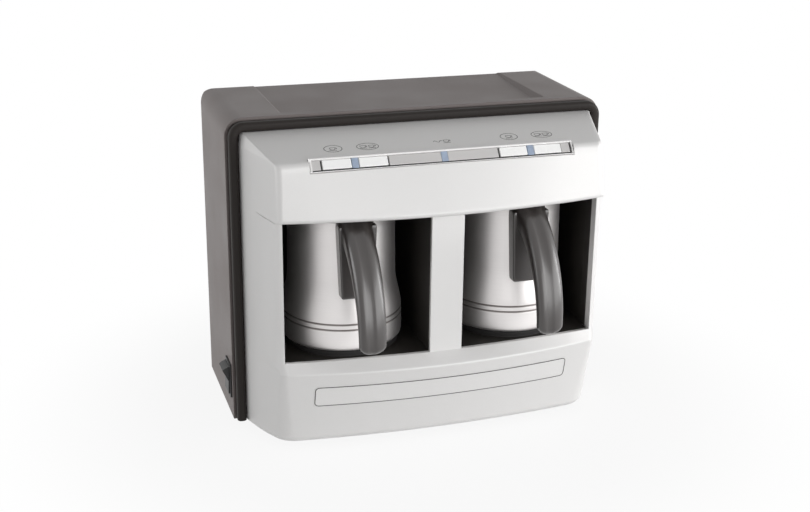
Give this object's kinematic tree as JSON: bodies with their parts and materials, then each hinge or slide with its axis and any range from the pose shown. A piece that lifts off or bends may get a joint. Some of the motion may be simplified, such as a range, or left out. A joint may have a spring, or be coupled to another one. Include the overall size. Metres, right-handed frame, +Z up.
{
  "type": "electric turkish coffee maker",
  "caption": "Countertop electric Turkish coffee maker: dark rear casing, curved silver front with niches for removable handled pots on hot plates, sloping button strip and side rocker switch.",
  "frame": {"origin": "bottom centre of the whole object's box at rest, on the plane the feet stand on", "axes": "+X to the right as seen from the front, +Y to the back of the machine, +Z up; the pot handles and control strip face -Y"},
  "size_m": [0.3222, 0.2435, 0.26],
  "materials": {
    "casing_dark": "satin dark warm grey with a fine texture",
    "bead_dark": "satin dark grey moulded bead",
    "panel_silver": "satin silver paint with a faint flake",
    "badge_silver": "bright satin printed foil plate with a thin dark border",
    "black_plastic": "black moulded plastic",
    "liner_black": "black heat-proof moulded liner, slightly glossy",
    "base_black": "black moulded base plate",
    "foot_rubber": "black rubber",
    "screw_steel": "plated steel",
    "insulator_cream": "cream moulded insulation",
    "strip_chrome": "bright satin metallised frame",
    "strip_grey": "light grey gloss plastic",
    "light_blue": "translucent blue light window",
    "button_white": "white gloss plastic",
    "board_green": "green circuit board",
    "lamp_clear": "clear lamp body",
    "terminal_brass": "stamped brass",
    "seal_silicone": "dark grey silicone rubber",
    "plate_coated": "cast aluminium with a dark non-stick coat",
    "heater_steel": "heat-stained steel tube",
    "zinc_sheet": "zinc-plated sheet",
    "lens_red": "dark red infrared window",
    "ribbon_grey": "grey flat cable",
    "pot_steel": "fine satin brushed stainless steel",
    "handle_bakelite": "satin dark grey bakelite"
  },
  "bodies": {
    "machine": {"rear_casing": "casing_dark", "bead_frame": "bead_dark", "front_panel": "panel_silver", "base_plate": "base_black", "rubber_feet": "foot_rubber", "casing_screws": "screw_steel", "panel_screws": "screw_steel", "badge_plate": "badge_silver", "cord_gland": "foot_rubber", "cord_clamp": "insulator_cream", "cord_clamp_screws": "screw_steel", "terminal_block": "insulator_cream", "strip_frame": "strip_chrome", "strip_end_caps": "strip_grey", "strip_center_bar": "strip_grey", "light_windows": "light_blue", "tact_switches": "black_plastic", "indicator_lamps": "lamp_clear", "control_board": "board_green", "control_screws": "screw_steel", "buzzer": "black_plastic", "switch_body": "black_plastic", "rocker_pin": "screw_steel", "switch_terminals": "terminal_brass", "niche_liner_left": "liner_black", "niche_liner_right": "liner_black", "liner_screws": "screw_steel", "plate_seals": "seal_silicone", "hot_plate_left": "plate_coated", "hot_plate_right": "plate_coated", "heater_elements": "heater_steel", "heater_clamps": "zinc_sheet", "heat_trays": "zinc_sheet", "tray_screws": "screw_steel", "plate_nuts": "screw_steel", "temperature_sensors": "zinc_sheet", "thermal_fuses": "insulator_cream", "foam_sensors": "black_plastic", "foam_sensor_lenses": "lens_red", "foam_sensor_boards": "board_green", "power_board": "board_green", "power_board_screws": "screw_steel", "power_parts": "black_plastic", "ribbon_cable": "ribbon_grey"},
    "button_1": {"cup_button_1": "button_white", "switch_plunger_1": "black_plastic"},
    "button_2": {"cup_button_2": "button_white", "switch_plunger_2": "black_plastic"},
    "button_3": {"cup_button_3": "button_white", "switch_plunger_3": "black_plastic"},
    "button_4": {"cup_button_4": "button_white", "switch_plunger_4": "black_plastic"},
    "rocker": {"rocker_paddle": "black_plastic"},
    "left_pot": {"pot_left": "pot_steel", "pot_handle_left": "handle_bakelite", "handle_studs_left": "screw_steel"},
    "right_pot": {"pot_right": "pot_steel", "pot_handle_right": "handle_bakelite", "handle_studs_right": "screw_steel"}
  },
  "joints": [
    {"name": "button_1_press", "type": "slide", "parent": "machine", "child": "button_1", "axis": [0, 0.788, -0.6157], "range_m": [0, 0.0009], "stiffness_N_per_m": 400, "springref_m": -0.0005},
    {"name": "button_2_press", "type": "slide", "parent": "machine", "child": "button_2", "axis": [0, 0.788, -0.6157], "range_m": [0, 0.0009], "stiffness_N_per_m": 400, "springref_m": -0.0005},
    {"name": "button_3_press", "type": "slide", "parent": "machine", "child": "button_3", "axis": [0, 0.788, -0.6157], "range_m": [0, 0.0009], "stiffness_N_per_m": 400, "springref_m": -0.0005},
    {"name": "button_4_press", "type": "slide", "parent": "machine", "child": "button_4", "axis": [0, 0.788, -0.6157], "range_m": [0, 0.0009], "stiffness_N_per_m": 400, "springref_m": -0.0005},
    {"name": "mains_rocker_tilt", "type": "hinge", "parent": "machine", "child": "rocker", "pos_m": [-0.15295, 0.01545, 0.037], "axis": [0, 1, 0], "range_deg": [0, 24]},
    {"name": "left_pot_slide_out", "type": "slide", "parent": "machine", "child": "left_pot", "axis": [0, -1, 0], "range_m": [0, 0.18]},
    {"name": "right_pot_slide_out", "type": "slide", "parent": "machine", "child": "right_pot", "axis": [0, -1, 0], "range_m": [0, 0.18]}
  ]
}
